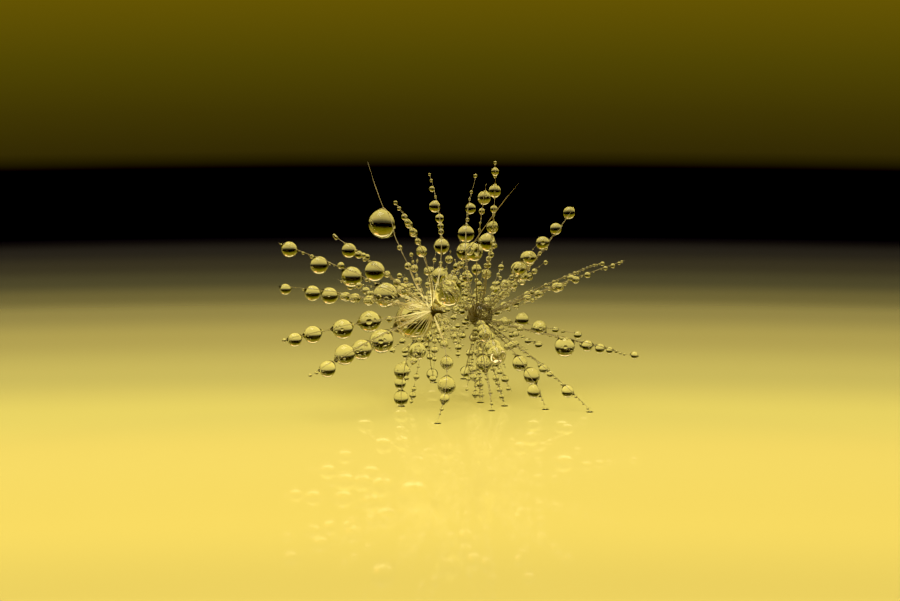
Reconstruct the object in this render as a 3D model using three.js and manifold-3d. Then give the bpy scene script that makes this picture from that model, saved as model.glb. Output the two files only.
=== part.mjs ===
// Dandelion seed parachutes, wet with dew: a tuft of two pappi standing back to back on the
// tips of their lower hairs. Millimetres, +Z up, X to the right and Y away from the viewer.
//
// Each parachute is one closed body. It holds the small brown plate that the hairs grow from, a
// stub of the seed's beak behind it, the strands that water has drawn the fine hairs into, and
// the drops of water strung along them. Hair length sets the scale: every strand starts at a
// plate and ends about one hair length away, unless it is a leg bent under the weight.
import * as THREE from 'three';
import { mergeVertices } from 'three/addons/utils/BufferGeometryUtils.js';
import Module from 'manifold-3d';

const wasm = await Module();
wasm.setup();

// ---- driving dimensions -------------------------------------------------------------------
const HAIR_LENGTH = 7.4;          // a pappus hair, plate to tip
const STRAND_ROOT_RADIUS = 0.085; // a wet bundle of hairs where it leaves the plate
const STRAND_TIP_RADIUS = 0.035;  // the same bundle at its tip
const STRAND_RINGS = 5;           // cross-sections along a strand
const STRAND_SIDES = 3;
const PLATE_RADIUS = 0.24;        // the brown plate, across its face
const PLATE_DEPTH = 0.16;
const PLATE_SIDES = 10;
const BEAK_RADIUS = 0.1;          // the thin neck that carried the plate
const BEAK_COLLAR = 0.13;         // the neck where it meets the plate
const PLATE_GAP = 1.5;            // free space left between the two broken beak stubs
const FOOT_RADIUS = 0.24;         // water creeping out round a leg's tip
const FOOT_HEIGHT = 0.2;
const FOOT_TOP_RADIUS = 0.056;    // the same water where it leaves the leg
const FOOT_SIDES = 8;
const ROUND_DROP = 0.36;          // drops from this radius up get the rounder solid
const HUB_DROP = 0.7;             // and from this radius up the roundest
const VOLUME_FACTOR = [1.18, 1.05, 1.01]; // makes a faceted ball as big as the round drop
const HANG = 0.45;                // how far a drop's middle hangs below its strand, in radii
const LOWEST_FREE_TIP = 0.3;      // a free strand ends at least this far above the surface
const LOWEST_DROP = 1.3;          // a drop's middle is at least this high, in radii
const DEEP_DROP = 0.8;            // a drop before or behind a measured one, as a share of its radius
const LAST_DROP = 0.97;           // no such drop stands further out along its strand
const NEAR_LARGEST = 0.3;         // a strand in front of the measured ones has no drop above this
const VIEW_TILT = THREE.MathUtils.degToRad(10); // the front view looks down by this much

const LEFT_PLATE = new THREE.Vector3(-1.2, -0.5, 4.45);
const RIGHT_PLATE = new THREE.Vector3(0.85, 1.0, 3.85);

// ---- strands ------------------------------------------------------------------------------
// tip: where the strand ends. bow: how far its middle stands off the straight line.
// drops: [share of the way out, radius, hang, side]. hang is how far the drop's middle is below
// its strand and side how far to its right, both in radii, given only where they differ.
const ABOVE = -0.6;
const BESIDE = 0;

const LEFT_STRANDS = {
  upper_left: {
    tip: [-8.2, 0.3, 7.45], bow: [0, 0, 0.15],
    drops: [[0.31, 0.56, 0.6], [0.53, 0.46], [0.6, 0.16, ABOVE], [0.74, 0.4, 0.75], [0.93, 0.35, 0.3]],
  },
  level_left: {
    tip: [-8.05, -2.0, 5.85], bow: [0, 0, 0.12],
    drops: [[0.42, 0.23], [0.51, 0.23], [0.57, 0.21], [0.68, 0.375], [0.79, 0.345], [0.965, 0.245]],
  },
  low_left: {
    tip: [-7.9, -3.0, 3.55], bow: [0, 0, 0.1],
    drops: [[0.29, 0.15], [0.42, 0.48, 0], [0.6, 0.445, 0.25], [0.8, 0.39, 0.15],
      [0.92, 0.31, 0.3], [0.99, 0.09, BESIDE]],
  },
  lowest_left: {
    tip: [-6.7, -3.9, 2.1], bow: [0, 0, 0.1],
    drops: [[0.41, 0.53], [0.57, 0.45, 0.35], [0.71, 0.455, -0.1], [0.85, 0.37], [0.99, 0.08, BESIDE]],
  },
  rising_left: {
    tip: [-5.8, 4.2, 7.2], bow: [0, 0, 0.1],
    drops: [[0.29, 0.33], [0.58, 0.46, 0.65], [0.66, 0.14, ABOVE], [0.74, 0.18], [0.84, 0.335, 0.65],
      [0.97, 0.1], [0.99, 0.09, BESIDE]],
  },
  steep_left: {
    tip: [-4.15, 2.5, 10.9], bow: [-0.2, 0, -0.05],
    drops: [[0.32, 0.16], [0.44, 0.12], [0.6, 0.6, 0.1, -0.6]],
  },
  leaning: {
    tip: [-2.95, 4.8, 8.65], bow: [0.48, 0, 0.05],
    drops: [[0.36, 0.2], [0.54, 0.255], [0.62, 0.14], [0.71, 0.19], [0.79, 0.18], [0.86, 0.15],
      [0.94, 0.1], [0.99, 0.1, BESIDE]],
  },
  upright: {
    tip: [-1.35, 3.4, 10.2], bow: [0.5, 0, 0],
    drops: [[0.28, 0.38], [0.49, 0.35], [0.58, 0.14], [0.62, 0.15], [0.68, 0.2],
      [0.77, 0.26, HANG, -0.5], [0.89, 0.13, HANG, -0.6], [0.95, 0.08], [0.99, 0.07, BESIDE]],
  },
  crossing: {
    tip: [2.7, -2.6, 10.7], bow: [-0.12, 0, 0.12],
    drops: [[0.25, 0.3], [0.36, 0.16], [0.47, 0.2]],
  },
  left_leg: {
    tip: [-2.6, -0.3, 0], bow: [-0.45, 0, 0], foot: true,
    drops: [[0.43, 0.395, 0.3, 0.8], [0.63, 0.365, HANG, -0.3], [0.76, 0.27, HANG, -0.3], [0.93, 0.34]],
  },
  front_leg: {
    tip: [-0.95, -4.2, 0], bow: [0.55, 0, 0.1], foot: true,
    drops: [[0.3, 0.2], [0.46, 0.3], [0.65, 0.41], [0.78, 0.23], [0.83, 0.1]],
  },
  back_leg: {
    tip: [-1.15, 5.4, 0], bow: [-0.2, 0, 0.4], foot: true,
    drops: [[0.45, 0.2], [0.7, 0.16], [0.9, 0.27]],
  },
  toward_viewer: {
    tip: [-0.35, -6.5, 6.7], bow: [0, 0, 0.1],
    drops: [[0.35, 0.22], [0.6, 0.3], [0.88, 0.6]],
  },
};

const RIGHT_STRANDS = {
  upright: {
    tip: [0.8, 4.0, 10.05], bow: [-0.5, 0, 0],
    drops: [[0.3, 0.24], [0.49, 0.42], [0.61, 0.38], [0.775, 0.24, HANG, 0.4], [0.88, 0.08],
      [0.99, 0.09, BESIDE]],
  },
  tallest: {
    tip: [1.65, -0.3, 11.3], bow: [0.22, 0, 0],
    drops: [[0.3, 0.22], [0.515, 0.375, HANG, -0.5], [0.6, 0.27], [0.71, 0.17], [0.83, 0.28], [0.91, 0.09],
      [0.945, 0.18], [0.99, 0.08, BESIDE]],
  },
  second_tallest: {
    tip: [1.25, -1.5, 10.5], bow: [-0.2, 0, 0],
    drops: [[0.38, 0.23], [0.525, 0.4, HANG, -0.4], [0.8, 0.14], [0.91, 0.3]],
  },
  rising_right: {
    tip: [5.2, 4.4, 8.25], bow: [0.13, 0, -0.13],
    drops: [[0.26, 0.16], [0.35, 0.21], [0.44, 0.28], [0.44, 0.355, ABOVE, -0.4],
      [0.54, 0.355, ABOVE, -0.4], [0.69, 0.3, ABOVE, -0.3], [0.82, 0.27, ABOVE], [0.98, 0.28, -0.2]],
  },
  long_right: {
    tip: [7.65, 2.6, 6.25], bow: [0, 0, 0.1],
    drops: [[0.34, 0.18], [0.415, 0.18], [0.54, 0.23], [0.64, 0.15, ABOVE], [0.67, 0.18],
      [0.75, 0.14], [0.87, 0.1], [0.92, 0.11], [0.98, 0.06, BESIDE]],
  },
  bare_right: {
    tip: [6.7, 4.6, 5.9], bow: [0, 0, 0.12],
    drops: [[0.22, 0.2], [0.4, 0.15], [0.55, 0.1]],
  },
  level_right: {
    tip: [8.1, -0.6, 2.4], bow: [0, 0, 0.05],
    drops: [[0.18, 0.17, ABOVE], [0.27, 0.15], [0.39, 0.33, ABOVE], [0.55, 0.455, 0.9], [0.69, 0.255],
      [0.77, 0.22], [0.83, 0.155], [0.985, 0.165, BESIDE]],
  },
  short_right: {
    tip: [5.65, 3.0, 2.75], bow: [0, 0, 0.1],
    drops: [[0.3, 0.16], [0.43, 0.3, ABOVE], [0.6, 0.15], [0.75, 0.15], [0.97, 0.18]],
  },
  far_right_leg: {
    tip: [5.95, -1.6, 0], bow: [0.1, 0, 0.15], foot: true,
    drops: [[0.3, 0.2], [0.57, 0.2], [0.63, 0.15], [0.79, 0.28]],
  },
  right_leg: {
    tip: [3.95, -1.0, 0], bow: [0.3, 0, 0.25], foot: true,
    drops: [[0.36, 0.18], [0.53, 0.345], [0.68, 0.365, 0.2, 0.3], [0.83, 0.3, 0.3, -0.6]],
  },
  thin_leg: {
    tip: [2.1, -0.2, 0], bow: [0, 0, 0], foot: true,
    drops: [[0.3, 0.25], [0.47, 0.17], [0.58, 0.12], [0.68, 0.16], [0.75, 0.115],
      [0.82, 0.135], [0.9, 0.12]],
  },
  slanting_leg: {
    tip: [1.5, -1.3, 0], bow: [0, 0, 0], foot: true,
    drops: [[0.3, 0.2], [0.46, 0.37], [0.55, 0.17]],
  },
  inner_leg: {
    tip: [1.0, 0.6, 0], bow: [0, 0, 0], foot: true,
    drops: [[0.4, 0.2], [0.65, 0.1], [0.78, 0.18]],
  },
  back_leg: {
    tip: [0.25, 6.3, 0], bow: [0.1, 0, 0.4], foot: true,
    drops: [[0.4, 0.2], [0.65, 0.18], [0.9, 0.25]],
  },
  toward_viewer: {
    tip: [1.75, -5.9, 3.5], bow: [0, 0, 0.1],
    drops: [[0.3, 0.2], [0.55, 0.28], [0.78, 0.38], [0.93, 0.42]],
  },
  toward_viewer_inner: {
    tip: [1.2, -5.3, 4.3], bow: [0, 0, 0.1],
    drops: [[0.45, 0.22], [0.75, 0.3], [0.95, 0.3]],
  },
};

// Strands that run in front of or behind the ones above: each leaves its plate along a named
// strand's line in the front view, and reaches the given depth before or behind the plate.
// reach is its length in hair lengths.
const LEFT_DEEP = [
  ['level_left', 5.0, 0.97], ['low_left', 4.6, 0.98], ['lowest_left', 5.6, 0.98],
  ['rising_left', -5.2, 0.98], ['leaning', -4.6, 0.97], ['level_left', -5.6, 0.97],
  ['lowest_left', -5.7, 0.96], ['leaning', 6.2, 0.98],
];
const RIGHT_DEEP = [
  ['level_right', 4.6, 0.98], ['far_right_leg', 4.9, 0.97], ['rising_right', 5.3, 0.97],
  ['rising_right', -5.0, 0.97], ['long_right', -5.3, 0.97], ['level_right', -5.7, 0.97],
  ['tallest', -4.4, 0.95], ['long_right', 5.4, 0.97],
];

const SEEDS_EACH = 31;            // whole numbers set aside for the drops of one strand

// A repeatable number from 0 to 1 for each whole number
function noise(n) {
  const wave = Math.sin(n * 12.9898 + 4.1414) * 43758.5453;
  return wave - Math.floor(wave);
}

function deepStrand(plate, strand, depth, reach) {
  const [x, y, z] = new THREE.Vector3(...strand.tip).sub(plate).toArray();
  const tilt = Math.tan(VIEW_TILT);
  const length = HAIR_LENGTH * reach;
  // In the front view a point shows at x across and z + y * tilt up. Scaling both by share
  // keeps the new strand on the old one's line, and its length fixes share.
  const rise = z + y * tilt;
  const square = x * x + rise * rise;
  const half = rise * depth * tilt;
  const rest = depth * depth * (1 + tilt * tilt) - length * length;
  const share = Math.min((half + Math.sqrt(half * half - square * rest)) / square, 1);
  // Up to there the old strand is a bow of its own, and the new one copies it.
  const [offX, , offZ] = strand.bow.map((offset) => offset * 4 * share * (1 - share));
  const height = plate.z + share * rise + offZ - depth * tilt;
  // Its drops stand in line with the old strand's in that view, and are smaller.
  const drops = strand.drops
    .map(([along, radius, hang = HANG, side = 0]) => (
      [along / share, radius * DEEP_DROP, hang / DEEP_DROP, side / DEEP_DROP]))
    .filter(([along, radius]) => along < LAST_DROP && (depth > 0 || radius < NEAR_LARGEST));
  const tip = [plate.x + share * x + offX, plate.y + depth, Math.max(height, LOWEST_FREE_TIP)];
  return { tip, bow: strand.bow.map((offset) => offset * share * share), drops };
}

// ---- solids -------------------------------------------------------------------------------
function toSolid(geometry) {
  const bare = geometry.clone();
  bare.deleteAttribute('normal');
  bare.deleteAttribute('uv');
  const merged = mergeVertices(bare, 1e-5);
  return new wasm.Manifold(new wasm.Mesh({
    numProp: 3,
    vertProperties: new Float32Array(merged.attributes.position.array),
    triVerts: new Uint32Array(merged.index.array),
  }));
}

function fromSolid(solid) {
  const mesh = solid.getMesh();
  const geometry = new THREE.BufferGeometry();
  geometry.setAttribute('position', new THREE.BufferAttribute(mesh.vertProperties, 3));
  geometry.setIndex(new THREE.BufferAttribute(mesh.triVerts, 1));
  geometry.computeVertexNormals();
  return geometry;
}

// A closed tapering tube along a curve
function taperedTube(curve, rootRadius, tipRadius) {
  const frames = curve.computeFrenetFrames(STRAND_RINGS, false);
  const positions = [];
  const faces = [];
  for (let ring = 0; ring <= STRAND_RINGS; ring += 1) {
    const share = ring / STRAND_RINGS;
    const centre = curve.getPointAt(share);
    const radius = THREE.MathUtils.lerp(rootRadius, tipRadius, share);
    for (let side = 0; side < STRAND_SIDES; side += 1) {
      const turn = (side / STRAND_SIDES) * 2 * Math.PI;
      const point = centre.clone()
        .addScaledVector(frames.normals[ring], radius * Math.cos(turn))
        .addScaledVector(frames.binormals[ring], radius * Math.sin(turn));
      positions.push(...point.toArray());
    }
  }
  for (let ring = 0; ring < STRAND_RINGS; ring += 1) {
    for (let side = 0; side < STRAND_SIDES; side += 1) {
      const here = ring * STRAND_SIDES + side;
      const next = ring * STRAND_SIDES + ((side + 1) % STRAND_SIDES);
      faces.push(here, next, next + STRAND_SIDES, here, next + STRAND_SIDES, here + STRAND_SIDES);
    }
  }
  const last = STRAND_RINGS * STRAND_SIDES;
  faces.push(0, 2, 1, last, last + 1, last + 2);
  const geometry = new THREE.BufferGeometry();
  geometry.setAttribute('position', new THREE.Float32BufferAttribute(positions, 3));
  geometry.setIndex(faces);
  return geometry;
}

// A drop of water, turned by its seed so that no two facet alike
function drop(centre, radius, seed) {
  let detail = 0;
  if (radius >= ROUND_DROP) detail = 1;
  if (radius >= HUB_DROP) detail = 2;
  const ball = new THREE.IcosahedronGeometry(radius * VOLUME_FACTOR[detail], detail);
  ball.rotateX(noise(seed) * Math.PI);
  ball.rotateZ(noise(seed + 7) * Math.PI);
  ball.translate(centre.x, centre.y, centre.z);
  return ball;
}

function foot(tip) {
  const cone = new THREE.CylinderGeometry(FOOT_TOP_RADIUS, FOOT_RADIUS, FOOT_HEIGHT, FOOT_SIDES);
  cone.rotateX(Math.PI / 2);
  cone.translate(tip.x, tip.y, FOOT_HEIGHT / 2);
  return cone;
}

// The plate: a low dome that faces outward, with its stub of beak toward the other plate
function plateAndBeak(plate, other) {
  const inward = other.clone().sub(plate);
  const stub = (inward.length() - PLATE_GAP) / 2;
  const profile = [
    new THREE.Vector2(0, -PLATE_DEPTH),
    new THREE.Vector2(PLATE_RADIUS * 0.7, -PLATE_DEPTH * 0.6),
    new THREE.Vector2(PLATE_RADIUS, 0),
    new THREE.Vector2(BEAK_COLLAR, PLATE_DEPTH),
    new THREE.Vector2(BEAK_RADIUS, stub),
    new THREE.Vector2(0, stub),
  ];
  const turned = new THREE.LatheGeometry(profile, PLATE_SIDES);
  const turn = new THREE.Quaternion().setFromUnitVectors(new THREE.Vector3(0, 1, 0), inward.normalize());
  turned.applyQuaternion(turn);
  turned.translate(plate.x, plate.y, plate.z);
  return turned;
}

function strandSolids(plate, strand, seed) {
  const tip = new THREE.Vector3(...strand.tip);
  if (strand.foot) tip.z = FOOT_HEIGHT / 2;
  const middle = plate.clone().lerp(tip, 0.5).addScaledVector(new THREE.Vector3(...strand.bow), 2);
  const curve = new THREE.QuadraticBezierCurve3(plate, middle, tip);
  const solids = [toSolid(taperedTube(curve, STRAND_ROOT_RADIUS, STRAND_TIP_RADIUS))];
  strand.drops.forEach(([along, radius, hang = HANG, side = 0], index) => {
    const centre = curve.getPointAt(along);
    centre.x += side * radius;
    centre.z = Math.max(centre.z - hang * radius, LOWEST_DROP * radius);
    solids.push(toSolid(drop(centre, radius, seed * SEEDS_EACH + index)));
  });
  if (strand.foot) solids.push(toSolid(foot(tip)));
  return solids;
}

function pappus(name, plate, other, hubDrop, strands, deep, seed) {
  const all = Object.values(strands);
  for (const [line, depth, reach] of deep) all.push(deepStrand(plate, strands[line], depth, reach));
  let body = toSolid(plateAndBeak(plate, other));
  body = body.add(toSolid(drop(hubDrop.centre, hubDrop.radius, seed)));
  all.forEach((strand, index) => {
    for (const solid of strandSolids(plate, strand, seed + index)) body = body.add(solid);
  });
  const material = new THREE.MeshStandardMaterial({ color: 0xb9a45a, roughness: 0.25, metalness: 0 });
  const mesh = new THREE.Mesh(fromSolid(body), material);
  mesh.name = name;
  return mesh;
}

// The big drop that each plate's hairs fan out through
const LEFT_HUB_DROP = { centre: new THREE.Vector3(-2.0, -0.5, 4.07), radius: 0.84 };
const RIGHT_HUB_DROP = { centre: new THREE.Vector3(1.0, 0.45, 4.1), radius: 0.56 };

const tuft = new THREE.Group();
tuft.add(pappus('pappus_left', LEFT_PLATE, RIGHT_PLATE, LEFT_HUB_DROP, LEFT_STRANDS, LEFT_DEEP, 100));
tuft.add(pappus('pappus_right', RIGHT_PLATE, LEFT_PLATE, RIGHT_HUB_DROP, RIGHT_STRANDS, RIGHT_DEEP, 400));

export default tuft;
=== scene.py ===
"""Looks for the wet dandelion tuft: two seed parachutes standing back to back on their hair tips.

The strands and the larger drops follow the same measured list as the part's source, in
millimetres. Each strand is opened here into its single hairs, which water pulls together at
every drop, and the drops get the round, slightly sagging form of real ones.
"""
import math

import bmesh
import bpy
import numpy as np
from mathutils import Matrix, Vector

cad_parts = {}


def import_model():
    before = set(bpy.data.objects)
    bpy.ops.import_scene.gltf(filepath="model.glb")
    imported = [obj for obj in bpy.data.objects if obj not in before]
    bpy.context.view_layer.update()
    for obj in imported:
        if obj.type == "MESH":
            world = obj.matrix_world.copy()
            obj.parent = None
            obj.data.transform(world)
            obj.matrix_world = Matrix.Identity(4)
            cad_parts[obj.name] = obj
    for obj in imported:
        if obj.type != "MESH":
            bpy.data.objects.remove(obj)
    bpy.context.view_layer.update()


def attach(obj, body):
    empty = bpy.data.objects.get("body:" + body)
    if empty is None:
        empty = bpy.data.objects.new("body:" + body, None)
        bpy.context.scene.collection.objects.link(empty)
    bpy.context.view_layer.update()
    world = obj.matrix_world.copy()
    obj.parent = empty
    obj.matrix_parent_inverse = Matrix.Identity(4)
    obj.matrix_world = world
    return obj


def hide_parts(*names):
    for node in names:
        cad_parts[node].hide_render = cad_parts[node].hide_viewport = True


MM = 0.001
UP = np.array([0.0, 0.0, 1.0])

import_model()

# ---- the measured list, in millimetres -------------------------------------------------------
HAIR_LENGTH = 7.4
FOOT_RADIUS = 0.24
FOOT_HEIGHT = 0.2
PLATE_RADIUS = 0.24
PLATE_DEPTH = 0.16
BEAK_RADIUS = 0.1
PLATE_GAP = 1.5
LOWEST_FREE_TIP = 0.3
DEEP_DROP = 0.8
LAST_DROP = 0.97
NEAR_LARGEST = 0.3
VIEW_TILT = math.radians(10)
HANG = 0.45
ABOVE = -0.6
BESIDE = 0

LEFT_PLATE = np.array([-1.2, -0.5, 4.45])
RIGHT_PLATE = np.array([0.85, 1.0, 3.85])
LEFT_HUB_DROP = ((-2.0, -0.5, 4.07), 0.84)
RIGHT_HUB_DROP = ((1.0, 0.45, 4.1), 0.56)

# name: (tip, bow, drops). A drop is (share of the way out, radius, hang, side).
LEFT_STRANDS = {
    "upper_left": ((-8.2, 0.3, 7.45), (0, 0, 0.15), [
        (0.31, 0.56, 0.6), (0.53, 0.46), (0.6, 0.16, ABOVE), (0.74, 0.4, 0.75), (0.93, 0.35, 0.3)]),
    "level_left": ((-8.05, -2.0, 5.85), (0, 0, 0.12), [
        (0.42, 0.23), (0.51, 0.23), (0.57, 0.21), (0.68, 0.375), (0.79, 0.345), (0.965, 0.245)]),
    "low_left": ((-7.9, -3.0, 3.55), (0, 0, 0.1), [
        (0.29, 0.15), (0.42, 0.48, 0), (0.6, 0.445, 0.25), (0.8, 0.39, 0.15), (0.92, 0.31, 0.3),
        (0.99, 0.09, BESIDE)]),
    "lowest_left": ((-6.7, -3.9, 2.1), (0, 0, 0.1), [
        (0.41, 0.53), (0.57, 0.45, 0.35), (0.71, 0.455, -0.1), (0.85, 0.37), (0.99, 0.08, BESIDE)]),
    "rising_left": ((-5.8, 4.2, 7.2), (0, 0, 0.1), [
        (0.29, 0.33), (0.58, 0.46, 0.65), (0.66, 0.14, ABOVE), (0.74, 0.18), (0.84, 0.335, 0.65),
        (0.97, 0.1), (0.99, 0.09, BESIDE)]),
    "steep_left": ((-4.15, 2.5, 10.9), (-0.2, 0, -0.05), [
        (0.32, 0.16), (0.44, 0.12), (0.6, 0.6, 0.1, -0.6)]),
    "leaning": ((-2.95, 4.8, 8.65), (0.48, 0, 0.05), [
        (0.36, 0.2), (0.54, 0.255), (0.62, 0.14), (0.71, 0.19), (0.79, 0.18), (0.86, 0.15),
        (0.94, 0.1), (0.99, 0.1, BESIDE)]),
    "upright": ((-1.35, 3.4, 10.2), (0.5, 0, 0), [
        (0.28, 0.38), (0.49, 0.35), (0.58, 0.14), (0.62, 0.15), (0.68, 0.2),
        (0.77, 0.26, HANG, -0.5), (0.89, 0.13, HANG, -0.6), (0.95, 0.08), (0.99, 0.07, BESIDE)]),
    "crossing": ((2.7, -2.6, 10.7), (-0.12, 0, 0.12), [(0.25, 0.3), (0.36, 0.16), (0.47, 0.2)]),
    "left_leg": ((-2.6, -0.3, 0), (-0.45, 0, 0), [
        (0.43, 0.395, 0.3, 0.8), (0.63, 0.365, HANG, -0.3), (0.76, 0.27, HANG, -0.3), (0.93, 0.34)]),
    "front_leg": ((-0.95, -4.2, 0), (0.55, 0, 0.1), [
        (0.3, 0.2), (0.46, 0.3), (0.65, 0.41), (0.78, 0.23), (0.83, 0.1)]),
    "back_leg": ((-1.15, 5.4, 0), (-0.2, 0, 0.4), [(0.45, 0.2), (0.7, 0.16), (0.9, 0.27)]),
    "toward_viewer": ((-0.35, -6.5, 6.7), (0, 0, 0.1), [(0.35, 0.22), (0.6, 0.3), (0.88, 0.6)]),
}
RIGHT_STRANDS = {
    "upright": ((0.8, 4.0, 10.05), (-0.5, 0, 0), [
        (0.3, 0.24), (0.49, 0.42), (0.61, 0.38), (0.775, 0.24, HANG, 0.4), (0.88, 0.08),
        (0.99, 0.09, BESIDE)]),
    "tallest": ((1.65, -0.3, 11.3), (0.22, 0, 0), [
        (0.3, 0.22), (0.515, 0.375, HANG, -0.5), (0.6, 0.27), (0.71, 0.17), (0.83, 0.28), (0.91, 0.09),
        (0.945, 0.18), (0.99, 0.08, BESIDE)]),
    "second_tallest": ((1.25, -1.5, 10.5), (-0.2, 0, 0), [
        (0.38, 0.23), (0.525, 0.4, HANG, -0.4), (0.8, 0.14), (0.91, 0.3)]),
    "rising_right": ((5.2, 4.4, 8.25), (0.13, 0, -0.13), [
        (0.26, 0.16), (0.35, 0.21), (0.44, 0.28), (0.44, 0.355, ABOVE, -0.4),
        (0.54, 0.355, ABOVE, -0.4), (0.69, 0.3, ABOVE, -0.3), (0.82, 0.27, ABOVE), (0.98, 0.28, -0.2)]),
    "long_right": ((7.65, 2.6, 6.25), (0, 0, 0.1), [
        (0.34, 0.18), (0.415, 0.18), (0.54, 0.23), (0.64, 0.15, ABOVE), (0.67, 0.18), (0.75, 0.14),
        (0.87, 0.1), (0.92, 0.11), (0.98, 0.06, BESIDE)]),
    "bare_right": ((6.7, 4.6, 5.9), (0, 0, 0.12), [(0.22, 0.2), (0.4, 0.15), (0.55, 0.1)]),
    "level_right": ((8.1, -0.6, 2.4), (0, 0, 0.05), [
        (0.18, 0.17, ABOVE), (0.27, 0.15), (0.39, 0.33, ABOVE), (0.55, 0.455, 0.9), (0.69, 0.255),
        (0.77, 0.22), (0.83, 0.155), (0.985, 0.165, BESIDE)]),
    "short_right": ((5.65, 3.0, 2.75), (0, 0, 0.1), [
        (0.3, 0.16), (0.43, 0.3, ABOVE), (0.6, 0.15), (0.75, 0.15), (0.97, 0.18)]),
    "far_right_leg": ((5.95, -1.6, 0), (0.1, 0, 0.15), [
        (0.3, 0.2), (0.57, 0.2), (0.63, 0.15), (0.79, 0.28)]),
    "right_leg": ((3.95, -1.0, 0), (0.3, 0, 0.25), [
        (0.36, 0.18), (0.53, 0.345), (0.68, 0.365, 0.2, 0.3), (0.83, 0.3, 0.3, -0.6)]),
    "thin_leg": ((2.1, -0.2, 0), (0, 0, 0), [
        (0.3, 0.25), (0.47, 0.17), (0.58, 0.12), (0.68, 0.16), (0.75, 0.115), (0.82, 0.135),
        (0.9, 0.12)]),
    "slanting_leg": ((1.5, -1.3, 0), (0, 0, 0), [(0.3, 0.2), (0.46, 0.37), (0.55, 0.17)]),
    "inner_leg": ((1.0, 0.6, 0), (0, 0, 0), [(0.4, 0.2), (0.65, 0.1), (0.78, 0.18)]),
    "back_leg": ((0.25, 6.3, 0), (0.1, 0, 0.4), [(0.4, 0.2), (0.65, 0.18), (0.9, 0.25)]),
    "toward_viewer": ((1.75, -5.9, 3.5), (0, 0, 0.1), [
        (0.3, 0.2), (0.55, 0.28), (0.78, 0.38), (0.93, 0.42)]),
    "toward_viewer_inner": ((1.2, -5.3, 4.3), (0, 0, 0.1), [(0.45, 0.22), (0.75, 0.3), (0.95, 0.3)]),
}
# (line that it shows along, depth behind the plate, length in hair lengths)
LEFT_DEEP = [
    ("level_left", 5.0, 0.97), ("low_left", 4.6, 0.98), ("lowest_left", 5.6, 0.98),
    ("rising_left", -5.2, 0.98), ("leaning", -4.6, 0.97), ("level_left", -5.6, 0.97),
    ("lowest_left", -5.7, 0.96), ("leaning", 6.2, 0.98),
]
RIGHT_DEEP = [
    ("level_right", 4.6, 0.98), ("far_right_leg", 4.9, 0.97), ("rising_right", 5.3, 0.97),
    ("rising_right", -5.0, 0.97), ("long_right", -5.3, 0.97), ("level_right", -5.7, 0.97),
    ("tallest", -4.4, 0.95), ("long_right", 5.4, 0.97),
]


def placed(drop):
    """A drop of the list with its hang and side filled in."""
    along, radius, hang, side = (*drop, *(HANG, 0)[len(drop) - 2:])
    return along, radius, hang, side


def deep_strand(plate, strand, depth, reach):
    """A strand before or behind a measured one, on the same line in the front view."""
    x, y, z = np.array(strand[0]) - plate
    tilt = math.tan(VIEW_TILT)
    length = HAIR_LENGTH * reach
    rise = z + y * tilt
    square = x * x + rise * rise
    half = rise * depth * tilt
    rest = depth * depth * (1 + tilt * tilt) - length * length
    share = min((half + math.sqrt(half * half - square * rest)) / square, 1)
    # up to there the old strand is a bow of its own, and the new one copies it
    off = np.array(strand[1]) * 4 * share * (1 - share)
    height = plate[2] + share * rise + off[2] - depth * tilt
    drops = [(along / share, radius * DEEP_DROP, hang / DEEP_DROP, side / DEEP_DROP)
             for along, radius, hang, side in map(placed, strand[2])
             if along / share < LAST_DROP and (depth > 0 or radius * DEEP_DROP < NEAR_LARGEST)]
    tip = (plate[0] + share * x + off[0], plate[1] + depth, max(height, LOWEST_FREE_TIP))
    return tip, np.array(strand[1]) * share * share, drops


# ---- lines -----------------------------------------------------------------------------------
LINE_POINTS = 65
HEADING_REACH = 0.02    # share of a line, to each side, over which its heading is taken
NEARLY_UPRIGHT = 0.9    # cosine past which a direction counts as upright


def unit(v):
    return v / max(np.linalg.norm(v), 1e-9)


def across(v):
    """Two unit vectors square to v and to each other."""
    helper = UP if abs(unit(v)[2]) < NEARLY_UPRIGHT else np.array([1.0, 0.0, 0.0])
    side = unit(np.cross(v, helper))
    return side, unit(np.cross(v, side))


def drawn(draw, least, more):
    """A random value from least to least + more."""
    return least + more * draw.random()


class Line:
    """A bowed line from a plate to a tip, measured by the share of its own length."""

    def __init__(self, plate, tip, bow):
        steps = np.linspace(0, 1, LINE_POINTS)[:, None]
        middle = (plate + tip) / 2 + 2 * np.array(bow, float)
        self.points = (1 - steps) ** 2 * plate + 2 * steps * (1 - steps) * middle + steps ** 2 * tip
        gaps = np.linalg.norm(np.diff(self.points, axis=0), axis=1)
        self.length = gaps.sum()
        self.shares = np.concatenate([[0], np.cumsum(gaps)]) / self.length

    def at(self, share):
        share = np.atleast_1d(share)
        found = np.stack([np.interp(share, self.shares, self.points[:, k]) for k in range(3)], axis=1)
        # past its end the line runs on straight
        past = np.clip(share - 1, 0, None)[:, None] * self.length
        return found + past * unit(self.points[-1] - self.points[-2])

    def heading(self, share):
        low = self.at(max(share - HEADING_REACH, 0))[0]
        high = self.at(min(share + HEADING_REACH, 1))[0]
        return unit(high - low)


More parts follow.
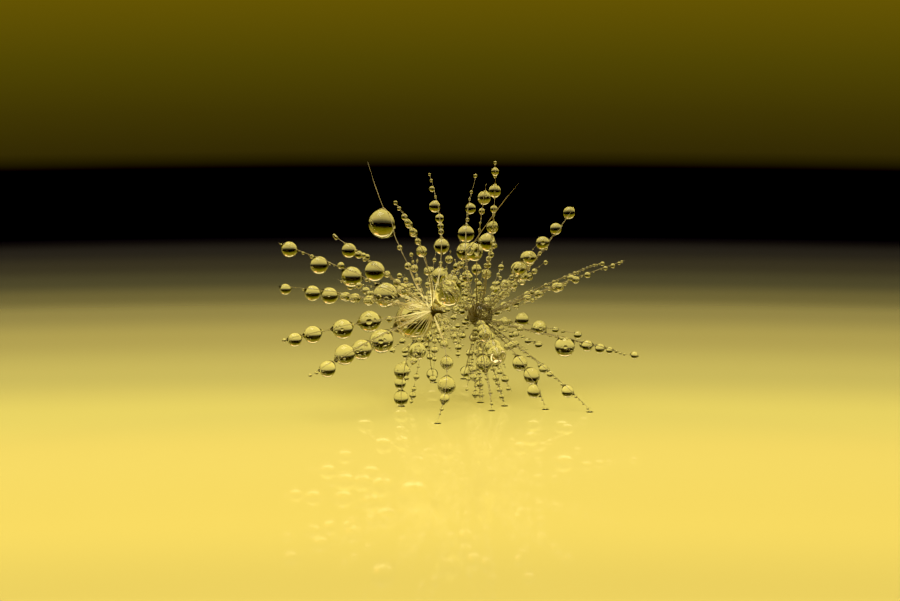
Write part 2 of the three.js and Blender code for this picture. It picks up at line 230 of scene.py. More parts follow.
# ---- meshes ----------------------------------------------------------------------------------
TUBE_SIDES = 5
BALL_LEVELS = ((5, 0.33), (4, 0.18), (3, 0.08), (2, 0.035))    # subdivisions of drops above a radius
SAG = 0.05              # how much a drop of SAG_RADIUS stretches downward
SAG_RADIUS = 0.5
SAG_LIMIT = 1.3         # the most that a larger drop adds to this, as a factor
MENISCUS = 0.45         # how far water climbs along the hair, in drop radii
MENISCUS_SPREAD = 0.26
SIDE_SPREAD = 0.35      # added to it on a drop that hangs beside its strand, for each radius
PIERCE_LIMIT = 0.92     # how far from a drop's centre its strand may pass, in drop radii
JOIN_LEVEL = 4          # subdivisions of drops that are joined
JOIN_VOXEL = 0.035
JOIN_SMOOTHING = 0.5
JOIN_PASSES = 6


class Heap:
    """Vertices and faces of many small closed forms, kept in millimetres."""

    def __init__(self):
        self.parts = []
        self.faces = []
        self.count = 0

    def add(self, verts, faces):
        self.parts.append(np.asarray(verts, float))
        self.faces.extend([tuple(i + self.count for i in face) for face in faces])
        self.count += len(verts)

    def mesh(self, name):
        mesh = bpy.data.meshes.new(name)
        verts = np.concatenate(self.parts)
        verts[:, 2] = np.maximum(verts[:, 2], 0)
        verts *= MM
        mesh.from_pydata(verts.tolist(), [], self.faces)
        mesh.validate()
        mesh.shade_smooth()
        return mesh


def added(name, data):
    """An object of this data, put into the scene."""
    thing = bpy.data.objects.new(name, data)
    bpy.context.scene.collection.objects.link(thing)
    return thing


def turns(sides):
    """Angles spread evenly round a circle."""
    return [2 * math.pi * side / sides for side in range(sides)]


def ring_faces(rings, sides):
    """Faces of a closed form made of rings of vertices, with a cap on each end."""
    faces = []
    for ring in range(rings - 1):
        for side in range(sides):
            here, there = ring * sides + side, ring * sides + (side + 1) % sides
            faces.append((here, there, there + sides, here + sides))
    faces.append(tuple(reversed(range(sides))))
    faces.append(tuple(range((rings - 1) * sides, rings * sides)))
    return faces


def tube(points, radii):
    """A closed round tube along points."""
    points = np.asarray(points)
    run = np.gradient(points, axis=0)
    run /= np.linalg.norm(run, axis=1)[:, None]
    first = across(run[len(run) // 2])[0]
    verts = []
    for point, heading, radius in zip(points, run, radii):
        u = unit(first - heading * first.dot(heading))
        v = np.cross(heading, u)
        for turn in turns(TUBE_SIDES):
            verts.append(point + radius * (math.cos(turn) * u + math.sin(turn) * v))
    return verts, ring_faces(len(points), TUBE_SIDES)


_balls = {}


def ball(level):
    """Unit ball as (points, faces), the same one each time for a level."""
    if level not in _balls:
        shape = bmesh.new()
        bmesh.ops.create_icosphere(shape, subdivisions=level, radius=1)
        points = np.array([v.co[:] for v in shape.verts])
        faces = [tuple(v.index for v in f.verts) for f in shape.faces]
        shape.free()
        _balls[level] = (points / np.linalg.norm(points, axis=1)[:, None], faces)
    return _balls[level]


def ball_level(radius):
    for level, smallest in BALL_LEVELS:
        if radius > smallest:
            return level
    return 1


def drop_form(centre, radius, pierce, heading, broad=0, level=None):
    """A drop of water hung on a strand that passes through the point pierce."""
    points, faces = ball(level or ball_level(radius))
    offset = (pierce - centre) / radius
    offset = offset - heading * offset.dot(heading)
    if np.linalg.norm(offset) > PIERCE_LIMIT:
        offset = unit(offset) * PIERCE_LIMIT
    reach = math.sqrt(1 - offset.dot(offset))
    shape = points.copy()
    for way in (-1, 1):
        exit_point = offset + way * reach * heading
        near = np.arccos(np.clip(points @ exit_point, -1, 1))
        pull = MENISCUS * np.exp(-near / (MENISCUS_SPREAD + SIDE_SPREAD * broad))
        shape += pull[:, None] * (way * heading)[None, :]
    sag = SAG * min(radius / SAG_RADIUS, SAG_LIMIT)
    below = np.clip(-points[:, 2], 0, 1)
    shape[:, 2] *= 1 + sag * below
    return centre + radius * shape, faces


def merged(forms, name):
    """Several touching drops as one body of water with smooth necks."""
    heap = Heap()
    for verts, faces in forms:
        heap.add(verts, faces)
    mesh = bpy.data.meshes.new(name)
    mesh.from_pydata(np.concatenate(heap.parts).tolist(), [], heap.faces)
    thing = added(name, mesh)
    remesh = thing.modifiers.new("join", "REMESH")
    remesh.mode = "VOXEL"
    remesh.voxel_size = JOIN_VOXEL
    relax = thing.modifiers.new("relax", "SMOOTH")
    relax.factor = JOIN_SMOOTHING
    relax.iterations = JOIN_PASSES
    ready = thing.evaluated_get(bpy.context.evaluated_depsgraph_get())
    made = ready.to_mesh()
    verts = np.array([v.co[:] for v in made.vertices])
    faces = [tuple(f.vertices) for f in made.polygons]
    ready.to_mesh_clear()
    bpy.data.objects.remove(thing)
    bpy.data.meshes.remove(mesh)
    return verts, faces


def groups_of_touching(drops):
    """Drops (centre, radius, ...) sorted into groups that touch one another."""
    group = list(range(len(drops)))

    def root(i):
        while group[i] != i:
            i = group[i]
        return i

    for i, first in enumerate(drops):
        for j in range(i):
            second = drops[j]
            gap = np.linalg.norm(first[0] - second[0]) - (first[1] + second[1])
            if gap < 0:
                group[root(i)] = root(j)
    found = {}
    for i in range(len(drops)):
        found.setdefault(root(i), []).append(drops[i])
    return list(found.values())


# ---- hairs -----------------------------------------------------------------------------------
HAIR_ROOT_RADIUS = 0.017
HAIR_TIP_RADIUS = 0.006
HAIR_STEP = 0.16      # length of hair between cross-sections
FEWEST_STEPS = 8
HAIR_TAPER = 0.8      # tip radius of the thinnest hairs, in root radii
HAIR_END = 0.4        # what the last cross-section has left of its radius
RIPPLE_DEPTH = 0.08   # how far a hair's radius swells and shrinks
RIPPLE_TURN = 60
RIPPLE_START = 6
BARB_LENGTH = 0.05
BARB_STANDOFF = 0.022
BARB_STEP = 0.22
BARB_SEAT = 0.004     # its root stands this far out of the hair's middle
BARB_FRONT = 0.02
BARB_BACK = 0.004
BARB_HALF_WIDTH = 0.008
# where the hairs of a strand lie: pairs are the least and what a random draw adds
OPEN_WIDTH = (0.03, 0.1)        # between the plate and the first drop
OPEN_CURVE = 0.9
CLOSED_WIDTH = (0.015, 0.03)    # past the first drop
CLOSING_SHARE = 0.08
DRY_FIRST = 0.35                # where a strand without drops closes
DRY_LAST = 0.5                  # and where it starts to open again
END_OPENING = 0.8
SHORT_END = 0.1
PULL_REACH = 1.15               # how far a drop pulls the hairs together, in drop radii
PULL_MARGIN = 0.03
PULL = 0.85
FOOT_PULL = 0.6
FOOT_PULL_SHARE = 0.2
BEAD_HANG = 0.5                 # how far dew hangs below its hair, in its radii
BEAD_GAP = (0.3, 1.4)           # from one bead to the next, in steps


def on_points(points, place):
    """The point at a place counted in points, and the heading there."""
    before = min(int(place), len(points) - 2)
    gap = points[before + 1] - points[before]
    return points[before] + (place - before) * gap, unit(gap)


def any_side(heading, draw):
    """A random direction square to a heading."""
    u, v = across(heading)
    turn = draw.random() * 2 * math.pi
    return math.cos(turn) * u + math.sin(turn) * v


def hair(heap, points, draw, root_radius=HAIR_ROOT_RADIUS):
    """One pappus hair with its short forward-pointing barbs."""
    shares = np.linspace(0, 1, len(points))
    radii = root_radius + (min(HAIR_TIP_RADIUS, root_radius * HAIR_TAPER) - root_radius) * shares
    radii *= 1 + RIPPLE_DEPTH * np.sin(shares * RIPPLE_TURN + draw.random() * RIPPLE_START)
    radii[-1] *= HAIR_END
    heap.add(*tube(points, radii))
    length = np.linalg.norm(np.diff(points, axis=0), axis=1).sum()
    for number in range(int(length / BARB_STEP)):
        share = (number + draw.random()) * BARB_STEP / length
        start, heading = on_points(points, share * (len(points) - 1))
        out = any_side(heading, draw)
        root = start + out * BARB_SEAT
        back = root - heading * BARB_BACK
        wide = np.cross(heading, out) * BARB_HALF_WIDTH
        end = start + heading * BARB_LENGTH + out * BARB_STANDOFF
        heap.add([root + heading * BARB_FRONT, back + wide, back - wide, end],
                 [(0, 2, 1), (0, 1, 3), (1, 2, 3), (2, 0, 3)])


def hair_in_strand(line, drops, draw, end, foot):
    """Points of one hair of a strand: spread at the plate, pulled in by each drop."""
    count = max(int(line.length * end / HAIR_STEP), FEWEST_STEPS)
    shares = np.linspace(0, end, count + 1)
    centre = line.at(shares)
    sideways = any_side(line.heading(0.5), draw)
    first = drops[0][0] if drops else DRY_FIRST
    fan = drawn(draw, *OPEN_WIDTH) * np.sin(math.pi * np.clip(shares / first, 0, 1)) ** OPEN_CURVE
    spread = drawn(draw, *CLOSED_WIDTH) * np.clip((shares - first) / CLOSING_SHARE, 0, 1)
    last = drops[-1][0] if drops else DRY_LAST
    spread = spread * (1 + END_OPENING * np.clip(shares - last, 0, 1) / max(1 - last, SHORT_END))
    for drop in drops:
        reach = PULL_REACH * drop[1] + PULL_MARGIN
        pull = np.exp(-((shares - drop[0]) * line.length / reach) ** 2)
        spread = spread * (1 - PULL * pull)
    if foot:
        near_foot = np.clip((shares - (1 - FOOT_PULL_SHARE)) / FOOT_PULL_SHARE, 0, 1)
        spread = spread * (1 - near_foot * FOOT_PULL)
    return centre + (fan + spread)[:, None] * sideways


def beads(line_points, draw, step, smallest, largest):
    """Fine dew on a hair: (centre, radius, pierce, heading)."""
    found = []
    length = np.linalg.norm(np.diff(line_points, axis=0), axis=1).sum()
    travelled = step * draw.random()
    while travelled < length:
        point, heading = on_points(line_points, travelled / length * (len(line_points) - 1))
        radius = smallest + (largest - smallest) * draw.random() ** 3
        found.append((point - UP * radius * BEAD_HANG, radius, point, heading))
        travelled += step * drawn(draw, *BEAD_GAP)
    return found


# ---- one parachute ---------------------------------------------------------------------------
# pairs are the least and what a random draw adds, unless a comment says otherwise
LEFT_SEED = 100
RIGHT_SEED = 400
HAIRS_IN_STRAND = 2
HAIRS_IN_BARE_STRAND = 3
SHORTER_HAIRS = (0.86, 0.14)    # where all but the first hair of a strand end, as a share of it
BARE = ("steep_left", "crossing")   # strands that carry no fine dew
DEWY = ("long_right", "bare_right", "level_right", "far_right_leg", "right_leg", "leaning", "upright")
DEWY_STEP = 0.15
DRY_STEP = 0.4
STRAND_DEW = (0.022, 0.1)       # smallest and largest radius
DROP_ABOVE_FLOOR = 1.15         # least height of a drop's centre, in its radii
DEW_ABOVE_FLOOR = 1.1
DEW_CLEARANCE = 1.05            # from one bead to the next drop, in radii of the bead

LOOSE_HAIRS = 60
LOOSE_HAIR_RADIUS = HAIR_ROOT_RADIUS * 0.33
LOOSE_LENGTH = (0.3, 0.35)      # in hair lengths
LOOSE_BOW = 0.12
LOOSE_STEP = 0.17
LOOSE_DEW = (0.025, 0.18)       # smallest and largest radius
INWARD = -0.3                   # from here on a direction points to the other parachute
INWARD_LENGTH = 0.5             # loose hairs that do so are this much shorter
INWARD_LIMIT = -0.85
NEAR_LIMIT = -0.5
HUB_DROP_OUT = 0.45             # the hub drop lies further out than this,
HUB_DROP_BACK = 0.15            # less far back
HUB_DROP_TOP = 0.3              # and lower, as parts of a unit length from the plate
VIEW_CLEARANCE = 0.5            # from the tip of a loose hair to a large drop, seen from the front
LARGE_DROP = 0.55

FAN_HAIRS = 12
FAN_HAIR_RADIUS = 0.01
FAN_HAIR_POINTS = 16
FAN_START = 1.02                # direction of the first fan hair, in half turns
FAN_SWEEP = 0.58
FAN_DEPTH = (-0.5, 0.3)         # nearest and furthest
FAN_REACH = 1.04                # in radii of the hub drop
FAN_BOW = (0, 0, 0.12)

FOOT_SIDES = 24
FOOT_RINGS = 7
FOOT_WAIST = 0.03
FOOT_MARGIN = 0.1
FOOT_CURVE = 6

PLATE_RIBS = 22
PLATE_SIDES = PLATE_RIBS * 4
RIB_DEPTH = 0.07
RIB_FADE = 0.3


def strand_drops(line, drops):
    found = []
    for along, radius, hang, side in map(placed, drops):
        pierce = line.at(along)[0]
        centre = pierce + np.array([side * radius, 0, -hang * radius])
        centre[2] = max(centre[2], radius * DROP_ABOVE_FLOOR)
        found.append((centre, radius, pierce, line.heading(along), abs(side)))
    return found


def pappus(side, plate, other, hub_drop, strands, deep, painted_root_tones, seed):
    """Builds the hair, plate, water and dew pieces of one parachute."""
    draw = np.random.RandomState(seed)
    node = "pappus_" + side
    all_strands = [(strand, name.endswith("leg"), name) for name, strand in strands.items()]
    for line_name, depth, reach in deep:
        all_strands.append((deep_strand(plate, strands[line_name], depth, reach), False, "deep"))
    hairs, dew = Heap(), []
    hub_centre, hub_radius = np.array(hub_drop[0]), hub_drop[1]
    drops = [(hub_centre, hub_radius, plate, unit(hub_centre - plate))]
    feet = []
    for (tip, bow, table), foot, name in all_strands:
        tip = np.array(tip, float)
        if foot:
            feet.append(tip.copy())
            tip[2] = FOOT_HEIGHT / 2
        line = Line(plate, tip, bow)
        drops += strand_drops(line, table)
        for number in range(HAIRS_IN_BARE_STRAND if name in BARE else HAIRS_IN_STRAND):
            end = 1.0 if number == 0 else drawn(draw, *SHORTER_HAIRS)
            points = hair_in_strand(line, table, draw, end, foot)
            hair(hairs, points, draw)
            if name not in BARE:
                dew += beads(points, draw, DEWY_STEP if name in DEWY else DRY_STEP, *STRAND_DEW)
    for number in range(FAN_HAIRS):
        share = (number + draw.random()) / FAN_HAIRS
        hair(hairs, fan_hair(plate, hub_centre, hub_radius, share, draw), draw, FAN_HAIR_RADIUS)
    large = [drop for drop in drops if drop[1] > LARGE_DROP and drop[0][1] > plate[1]]
    for number in range(LOOSE_HAIRS):
        points = loose_hair(plate, other, large, draw)
        hair(hairs, points, draw, LOOSE_HAIR_RADIUS)
        dew += beads(points, draw, LOOSE_STEP, *LOOSE_DEW)
    pieces = [
        water_piece(node + "_drops", drops),
        dew_piece(node + "_dew", dew, drops),
        foot_piece(node + "_feet", feet),
        finished(node + "_hairs", hairs, "pappus_hair", hair_look("hair_" + side, plate, painted_root_tones)),
        plate_piece(node + "_plate", plate, other),
    ]
    for piece in pieces:
        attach(piece, "root")
        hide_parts(node)


def fan_hair(plate, hub_centre, hub_radius, share, draw):
    """A hair that runs through the hub drop to the water's edge, below and outward."""
    turn = math.pi * (FAN_START + FAN_SWEEP * share)
    out = np.sign(hub_centre[0] - plate[0])
    rim = np.array([-out * math.cos(turn), draw.uniform(*FAN_DEPTH), math.sin(turn)])
    tip = hub_centre + hub_radius * FAN_REACH * unit(rim)
    return Line(plate, tip, FAN_BOW).at(np.linspace(0, 1, FAN_HAIR_POINTS))


def seen(point):
    """A point as the front view shows it: across and up."""
    return np.array([point[0], point[2] + point[1] * math.tan(VIEW_TILT)])


def loose_hair(plate, other, large, draw):
    """A single fine hair outside the strands, clear of the other parachute and the large drops."""
    side = np.sign(plate[0] - other[0])
    while True:
        way = unit(draw.normal(size=3))
        out = way[0] * side
        length = HAIR_LENGTH * drawn(draw, *LOOSE_LENGTH) * (INWARD_LENGTH if out < INWARD else 1)
        tip = plate + way * length
        tip[2] = max(tip[2], LOWEST_FREE_TIP)
        before_hub_drop = out > HUB_DROP_OUT and way[1] < HUB_DROP_BACK and way[2] < HUB_DROP_TOP
        over_large = any(np.linalg.norm(seen(tip) - seen(drop[0])) < drop[1] + VIEW_CLEARANCE
                         for drop in large)
        if out > INWARD_LIMIT and way[1] > NEAR_LIMIT and not before_hub_drop and not over_large:
            break
    line = Line(plate, tip, draw.normal(size=3) * LOOSE_BOW)
    return line.at(np.linspace(0, 1, int(length / HAIR_STEP)))


def water_piece(name, drops):
    heap = Heap()
    for group in groups_of_touching(drops):
        if len(group) == 1:
            heap.add(*drop_form(*group[0]))
        else:
            forms = [drop_form(*drop, level=JOIN_LEVEL) for drop in group]
            heap.add(*merged(forms, name + "_join"))
    return finished(name, heap, "water", water())


def dew_piece(name, dew, drops):
    """The dew that touches no drop, no larger bead and not the floor."""
    heap = Heap()
    centres = [drop[0] for drop in drops]
    radii = [drop[1] for drop in drops]
    for bead in sorted(dew, key=lambda bead: -bead[1]):
        apart = np.linalg.norm(np.array(centres) - bead[0], axis=1)
        if (apart < np.array(radii) + bead[1] * DEW_CLEARANCE).any():
            continue
        if bead[0][2] < bead[1] * DEW_ABOVE_FLOOR:
            continue
        centres.append(bead[0])
        radii.append(bead[1])
        heap.add(*drop_form(*bead))
    return finished(name, heap, "water", water())


def foot_piece(name, feet):
    """The ring of water that creeps out round each hair tip on the surface."""
    heap = Heap()
    for foot in feet:
        verts = []
        for share in np.linspace(0, 1, FOOT_RINGS):
            radius = FOOT_WAIST + (FOOT_RADIUS - FOOT_MARGIN) * (1 - share) ** FOOT_CURVE
            for turn in turns(FOOT_SIDES):
                verts.append((foot[0] + radius * math.cos(turn), foot[1] + radius * math.sin(turn),
                              FOOT_HEIGHT * share))
        heap.add(verts, ring_faces(FOOT_RINGS, FOOT_SIDES))
    return finished(name, heap, "water", water())


def plate_piece(name, plate, other):
    """The ribbed brown plate with its stub of beak."""
    inward = unit(other - plate)
    stub = (np.linalg.norm(other - plate) - PLATE_GAP) / 2
    u, v = across(inward)
    # radius, and place along the axis from the hairs to the end of the beak
    profile = [(0.02, -PLATE_DEPTH), (PLATE_RADIUS * 0.4, -PLATE_DEPTH * 0.85),
               (PLATE_RADIUS * 0.75, -PLATE_DEPTH * 0.5), (PLATE_RADIUS, -0.02),
               (PLATE_RADIUS * 0.9, PLATE_DEPTH * 0.3), (BEAK_RADIUS * 1.6, PLATE_DEPTH * 0.8),
               (BEAK_RADIUS * 1.1, PLATE_DEPTH * 1.4), (BEAK_RADIUS, stub * 0.6),
               (BEAK_RADIUS * 0.9, stub * 0.97), (BEAK_RADIUS * 0.4, stub)]
    verts = []
    for radius, out in profile:
        for turn in turns(PLATE_SIDES):
            rib = 1 + RIB_DEPTH * math.cos(turn * PLATE_RIBS) * min(radius / PLATE_RADIUS + RIB_FADE, 1)
            verts.append(plate + inward * out + radius * rib * (math.cos(turn) * u + math.sin(turn) * v))
    heap = Heap()
    heap.add(verts, ring_faces(len(profile), PLATE_SIDES))
    return finished(name, heap, "pappus_plate", plate_look())


def finished(name, heap, slot, material):
    piece = added(name, heap.mesh(name))
    piece.data.materials.append(material)
    # clear drops gather light rather than stop it
    piece.visible_shadow = slot != "water"
    return piece


# ---- materials -------------------------------------------------------------------------------
# noise scales are counted in a metre
NOISE_RANGE = (0.3, 0.7)
WATER_INDEX = 1.333
WATER_TINTS = [(0.97, 0.98, 0.94), (1.0, 1.0, 1.0)]
WATER_SCALE = 300
HAIR_INDEX = 1.45
HAIR_CLEARNESS = 0.3
HAIR_SCALE = 900
HAIR_COLOURS = [(0.2, 0.155, 0.055), (0.37, 0.3, 0.135)]
# painted light: the left hairs near the plate are coloured bright gold as if lit through the hub drop,
# the right ones dark as painted shade
LEFT_ROOT_PAINTED_GLOW = [(0.75, 0.56, 0.16), (1.0, 0.9, 0.42)]
RIGHT_ROOT_PAINTED_SHADE = [(0.07, 0.055, 0.018), (0.24, 0.18, 0.06)]
PAINTED_ROOT_REACH = 2.6     # how far from the plate the painted root tones reach: painted glow on the left hairs, painted shade on the right
PAINTED_ROOT_HOLD = 0.3      # up to this share of it the painted root tones are whole
PLATE_COLOURS = [(0.02, 0.015, 0.004), (0.08, 0.058, 0.015)]
PLATE_SCALE = 4000
PLATE_DETAIL = 6
PLATE_GRAIN = 0.02      # height of the bumps


def node_material(name):
    material = bpy.data.materials.new(name)
    material.use_nodes = True
    nodes = material.node_tree.nodes
    return material, nodes, material.node_tree.links, nodes["Principled BSDF"]


def ramp_of(nodes, stops):
    """A colour ramp with these (position, colour) stops."""
    ramp = nodes.new("ShaderNodeValToRGB")
    elements = ramp.color_ramp.elements
    while len(elements) < len(stops):
        elements.new(0.5)
    for element, (position, colour) in zip(elements, stops):
        element.position = position
        element.color = (*colour, 1)
    return ramp


def noise_ramp(nodes, links, scale, colours, detail=3):
    """Object-space noise through a colour ramp."""
    place = nodes.new("ShaderNodeTexCoord")
    pattern = nodes.new("ShaderNodeTexNoise")
    pattern.inputs["Scale"].default_value = scale
    pattern.inputs["Detail"].default_value = detail
    ramp = ramp_of(nodes, list(zip(NOISE_RANGE, colours)))
    links.new(place.outputs["Object"], pattern.inputs["Vector"])
    links.new(pattern.outputs["Fac"], ramp.inputs["Fac"])
    return ramp, pattern


_made = {}


def water():
    if "water" not in _made:
        material, nodes, links, shader = node_material("water")
        shader.inputs["Transmission Weight"].default_value = 1
        shader.inputs["IOR"].default_value = WATER_INDEX
        shader.inputs["Roughness"].default_value = 0.0
        ramp, _ = noise_ramp(nodes, links, WATER_SCALE, WATER_TINTS)
        links.new(ramp.outputs["Color"], shader.inputs["Base Color"])
        _made["water"] = material
    return _made["water"]


def hair_look(name, plate, painted_root_tones):
    """Clear pale hair; near the plate its colour gives way to painted root tones, a painted glow on the
    left parachute and painted shade on the right.
    """
    material, nodes, links, shader = node_material(name)
    shader.inputs["Roughness"].default_value = 0.15
    shader.inputs["Transmission Weight"].default_value = HAIR_CLEARNESS
    shader.inputs["IOR"].default_value = HAIR_INDEX
    outer, pattern = noise_ramp(nodes, links, HAIR_SCALE, HAIR_COLOURS)
    root = ramp_of(nodes, list(zip(NOISE_RANGE, painted_root_tones)))
    place = nodes.new("ShaderNodeTexCoord")
    distance = nodes.new("ShaderNodeVectorMath")
    distance.operation = "DISTANCE"
    distance.inputs[1].default_value = plate * MM
    near = nodes.new("ShaderNodeMapRange")
    near.inputs["From Min"].default_value = PAINTED_ROOT_REACH * PAINTED_ROOT_HOLD * MM
    near.inputs["From Max"].default_value = PAINTED_ROOT_REACH * MM
    near.inputs["To Min"].default_value = 1
    near.inputs["To Max"].default_value = 0
    # near the plate the painted root tones take the place of the hair's own colour
    mix = nodes.new("ShaderNodeMix")
    mix.data_type = "RGBA"
    links.new(pattern.outputs["Fac"], root.inputs["Fac"])
    links.new(place.outputs["Object"], distance.inputs[0])
    links.new(distance.outputs["Value"], near.inputs["Value"])
    links.new(near.outputs["Result"], mix.inputs["Factor"])
    links.new(outer.outputs["Color"], mix.inputs["A"])
    links.new(root.outputs["Color"], mix.inputs["B"])
    links.new(mix.outputs["Result"], shader.inputs["Base Color"])
    return material


def plate_look():
    if "plate" not in _made:
        material, nodes, links, shader = node_material("pappus_plate")
        shader.inputs["Roughness"].default_value = 0.6
        shader.inputs["Specular IOR Level"].default_value = 0.2
        ramp, pattern = noise_ramp(nodes, links, PLATE_SCALE, PLATE_COLOURS, PLATE_DETAIL)
        links.new(ramp.outputs["Color"], shader.inputs["Base Color"])
        bump = nodes.new("ShaderNodeBump")
        bump.inputs["Strength"].default_value = 0.4
        bump.inputs["Distance"].default_value = PLATE_GRAIN * MM
        links.new(pattern.outputs["Fac"], bump.inputs["Height"])
        links.new(bump.outputs["Normal"], shader.inputs["Normal"])
        _made["plate"] = material
    return _made["plate"]


# ---- stage, light and camera, in metres unless a comment says otherwise ----------------------
FLOOR_LEVEL = -0.00001  # just under the feet, so that no two faces lie in one plane
FLOOR_CENTRE = -0.15    # the sheet lies mostly before the tuft
FLOOR_END = 0.2
FLOOR_SIDES = 96
FLOOR_ROUGHNESS = 0.035
FLOOR_GLOSS = 0.08
GLOSS_START = 0.7       # share of the way out where the gloss starts to fade
# (share of the way out, colour): the pale sheet with painted light on it, a brighter painted pool just
# before the tuft and a painted fall-off into shade down to black at the rim
FLOOR_PALE_WITH_PAINTED_FALLOFF = [
    (0.0, (0.36, 0.285, 0.062)), (0.57, (0.365, 0.29, 0.063)), (0.635, (0.43, 0.337, 0.07)),
    (0.7, (0.445, 0.352, 0.077)), (0.744, (0.4, 0.333, 0.076)), (0.792, (0.298, 0.252, 0.066)),
    (0.84, (0.222, 0.184, 0.052)), (0.872, (0.152, 0.127, 0.041)), (0.896, (0.08, 0.068, 0.025)),
    (0.92, (0.038, 0.034, 0.017)), (0.944, (0.022, 0.019, 0.012)), (0.968, (0.0125, 0.011, 0.009)),
    (0.988, (0.005, 0.0045, 0.004)), (1.0, (0.0, 0.0, 0.0))]


def floor():
    """A pale sheet, well beyond the tuft, whose colour carries painted light: a brighter pool just before
    the tuft and a painted fall-off into shade that fades it into the dark studio all round.
    """
    mesh = bpy.data.meshes.new("floor")
    rim = [(FLOOR_END * math.cos(turn), FLOOR_END * math.sin(turn), FLOOR_LEVEL)
           for turn in turns(FLOOR_SIDES)]
    fan = [(side, (side + 1) % FLOOR_SIDES, FLOOR_SIDES) for side in range(FLOOR_SIDES)]
    mesh.from_pydata(rim + [(0, 0, FLOOR_LEVEL)], [], fan)
    ground = added("floor", mesh)
    ground.location = (0, FLOOR_CENTRE, 0)
    material, nodes, links, shader = node_material("pale_floor_painted_falloff")
    place = nodes.new("ShaderNodeTexCoord")
    distance = nodes.new("ShaderNodeVectorMath")
    distance.operation = "LENGTH"
    share = nodes.new("ShaderNodeMath")
    share.operation = "DIVIDE"
    share.inputs[1].default_value = FLOOR_END
    # painted pool of light and painted fall-off into shade, by distance from the sheet's centre
    tones = ramp_of(nodes, FLOOR_PALE_WITH_PAINTED_FALLOFF)
    tones.color_ramp.interpolation = "EASE"
    gloss = nodes.new("ShaderNodeMapRange")
    gloss.inputs["From Min"].default_value = GLOSS_START
    gloss.inputs["To Min"].default_value = FLOOR_GLOSS
    gloss.inputs["To Max"].default_value = 0
    links.new(place.outputs["Object"], distance.inputs[0])
    links.new(distance.outputs["Value"], share.inputs[0])
    links.new(share.outputs["Value"], tones.inputs["Fac"])
    links.new(share.outputs["Value"], gloss.inputs["Value"])
    links.new(tones.outputs["Color"], shader.inputs["Base Color"])
    links.new(gloss.outputs["Result"], shader.inputs["Specular IOR Level"])
    shader.inputs["Roughness"].default_value = FLOOR_ROUGHNESS
    mesh.materials.append(material)


WALL_SIDES = 128
# radius, low edge, high edge, and tones from the low edge up
# a glowing backdrop, no lamp: its painted glow runs from black at the foot to dark olive at the top
BACKDROP = (0.5, -0.0635, -0.036, [
    (0.0, (0.0, 0.0, 0.0)), (0.07, (0.025, 0.02, 0.006)), (0.13, (0.045, 0.034, 0.007)),
    (0.354, (0.062, 0.047, 0.007)), (0.64, (0.091, 0.07, 0.007)), (0.977, (0.136, 0.097, 0.007))])
# a glowing ring close round the tuft, no lamp: its painted glow is what the drops show through them, and
# a painted reflection on drops and floor
GLOW_RING = (0.036, 0.0072, 0.0185, [
    (0.0, (0.0, 0.0, 0.0)), (0.03, (0.05, 0.045, 0.002)), (0.2, (0.1, 0.088, 0.003)),
    (0.55, (0.19, 0.145, 0.005)), (1.0, (0.29, 0.2, 0.013))])


def ring_wall(name, radius, low, high, tones):
    """A glowing wall round the tuft that gives no light of its own to the floor."""
    verts = [(radius * math.cos(turn), radius * math.sin(turn), height)
             for height in (low, high) for turn in turns(WALL_SIDES)]
    following = [(side + 1) % WALL_SIDES for side in range(WALL_SIDES)]
    faces = [(side, after, WALL_SIDES + after, WALL_SIDES + side) for side, after in enumerate(following)]
    mesh = bpy.data.meshes.new(name)
    mesh.from_pydata(verts, [], faces)
    wall = added(name, mesh)
    wall.visible_diffuse = False
    wall.visible_shadow = False
    material = bpy.data.materials.new(name)
    material.use_nodes = True
    nodes, links = material.node_tree.nodes, material.node_tree.links
    nodes.clear()
    place = nodes.new("ShaderNodeTexCoord")
    split = nodes.new("ShaderNodeSeparateXYZ")
    share = nodes.new("ShaderNodeMapRange")
    share.inputs["From Min"].default_value = low
    share.inputs["From Max"].default_value = high
    ramp = ramp_of(nodes, tones)
    glow = nodes.new("ShaderNodeEmission")
    output = nodes.new("ShaderNodeOutputMaterial")
    links.new(place.outputs["Object"], split.inputs[0])
    links.new(split.outputs["Z"], share.inputs["Value"])
    links.new(share.outputs["Result"], ramp.inputs["Fac"])
    links.new(ramp.outputs["Color"], glow.inputs["Color"])
    links.new(glow.outputs[0], output.inputs["Surface"])
    mesh.materials.append(material)
    return wall


def walls():
    """A far glowing backdrop for the camera alone, and a near glowing ring hidden from the camera, whose
    painted glow shows through drops and as a painted reflection.
    """
    backdrop = ring_wall("backdrop", *BACKDROP)
    backdrop.visible_glossy = False
    backdrop.visible_transmission = False
    glow_ring = ring_wall("glow_ring", *GLOW_RING)
    glow_ring.visible_camera = False


# (0 straight down, 0.5 at the horizon and 1 straight up, colour)
WORLD_TONES = [
    (0.0, (0.0, 0.0, 0.0)), (0.575, (0.0, 0.0, 0.0)), (0.58, (0.045, 0.038, 0.003)),
    (0.59, (0.1, 0.088, 0.005)), (0.7, (0.25, 0.18, 0.012)), (0.76, (0.25, 0.165, 0.025)),
    (0.84, (0.12, 0.1, 0.02)), (1.0, (0.05, 0.045, 0.03))]


def world():
    """Soft studio surround, coloured by height only: dark at the horizon, warm above."""
    made = bpy.data.worlds.new("studio")
    bpy.context.scene.world = made
    made.use_nodes = True
    nodes, links = made.node_tree.nodes, made.node_tree.links
    place = nodes.new("ShaderNodeTexCoord")
    split = nodes.new("ShaderNodeSeparateXYZ")
    ramp = ramp_of(nodes, WORLD_TONES)
    half = nodes.new("ShaderNodeMath")
    half.operation = "MULTIPLY_ADD"
    half.inputs[1].default_value = 0.5
    half.inputs[2].default_value = 0.5
    links.new(place.outputs["Generated"], split.inputs[0])
    links.new(split.outputs["Z"], half.inputs[0])
    links.new(half.outputs[0], ramp.inputs["Fac"])
    links.new(ramp.outputs["Color"], nodes["Background"].inputs["Color"])
    nodes["Background"].inputs["Strength"].default_value = 1.0


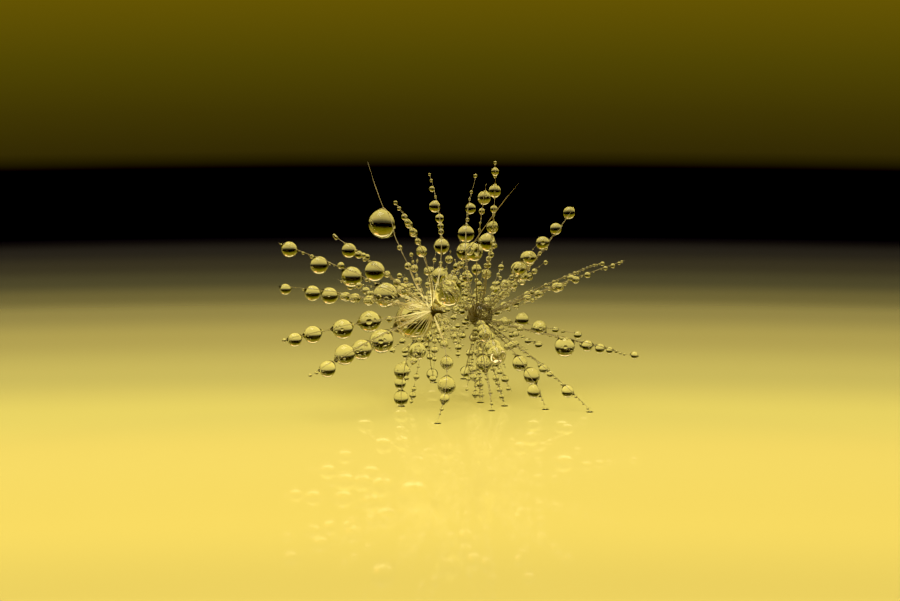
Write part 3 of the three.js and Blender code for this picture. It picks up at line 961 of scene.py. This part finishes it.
# name: (place, target, size, power, colour, shows as a shine, shows through drops)
LIGHTS = {
    "softbox_low": ((0, 1.0, 0.65), (0, 0, 0.005), (1.2, 0.2), 1.1, (1, 0.8, 0.4), True, True),
    "softbox_warm": ((0.3, 1.0, 0.42), (0, 0, 0.005), (0.25, 0.08), 0.12, (1, 0.4, 0.08), True, True),
    "softbox_glint": ((-0.05, 0.05, 0.4), (0, 0, 0.005), (0.25, 0.25), 0.6, (1, 0.98, 0.93), True, False),
    "softbox_above": ((-0.03, -0.11, 0.3), (0, -0.01, 0), (0.3, 0.3), 2.85, (1, 0.97, 0.9), False, False),
}


def softbox(name, place, target, size, power, colour, mirrored, refracted):
    light = bpy.data.lights.new(name, "AREA")
    light.shape = "RECTANGLE"
    light.size, light.size_y = size
    light.energy = power
    light.color = colour
    lamp = added(name, light)
    lamp.visible_glossy = mirrored
    lamp.visible_transmission = refracted
    lamp.location = place
    lamp.rotation_euler = (Vector(target) - Vector(place)).to_track_quat("-Z", "Y").to_euler()


PICTURE_WIDTH = 900         # pixels
PIXEL = 0.0455              # millimetres of the tuft that a pixel shows
CAMERA_DISTANCE = 213       # millimetres
CAMERA_TARGET = (-0.39, 0, 4.85)    # millimetres
SENSOR_WIDTH = 36


def camera():
    """The photograph's view: from the front, looking down by ten degrees, far off."""
    sight = bpy.data.cameras.new("camera")
    sight.sensor_width = SENSOR_WIDTH
    sight.lens = SENSOR_WIDTH * CAMERA_DISTANCE / (PICTURE_WIDTH * PIXEL)
    sight.clip_start = 0.01
    sight.clip_end = 10
    thing = added("camera", sight)
    back = np.array([0, -math.cos(VIEW_TILT), math.sin(VIEW_TILT)])
    thing.location = (np.array(CAMERA_TARGET) + CAMERA_DISTANCE * back) * MM
    thing.rotation_euler = (math.pi / 2 - VIEW_TILT, 0, 0)
    bpy.context.scene.camera = thing


BLACK_LEVEL = (0.012, 0.011, 0.006)


def picture_tones():
    """Plain view transform, with the darkest tones drawn down to black."""
    view = bpy.context.scene.view_settings
    view.view_transform = "Standard"
    view.use_curve_mapping = True
    view.curve_mapping.black_level = BLACK_LEVEL
    view.curve_mapping.update()


pappus("left", LEFT_PLATE, RIGHT_PLATE, LEFT_HUB_DROP, LEFT_STRANDS, LEFT_DEEP,
       LEFT_ROOT_PAINTED_GLOW, LEFT_SEED)
pappus("right", RIGHT_PLATE, LEFT_PLATE, RIGHT_HUB_DROP, RIGHT_STRANDS, RIGHT_DEEP,
       RIGHT_ROOT_PAINTED_SHADE, RIGHT_SEED)
floor()
walls()
world()
for name, light in LIGHTS.items():
    softbox(name, *light)
camera()
picture_tones()
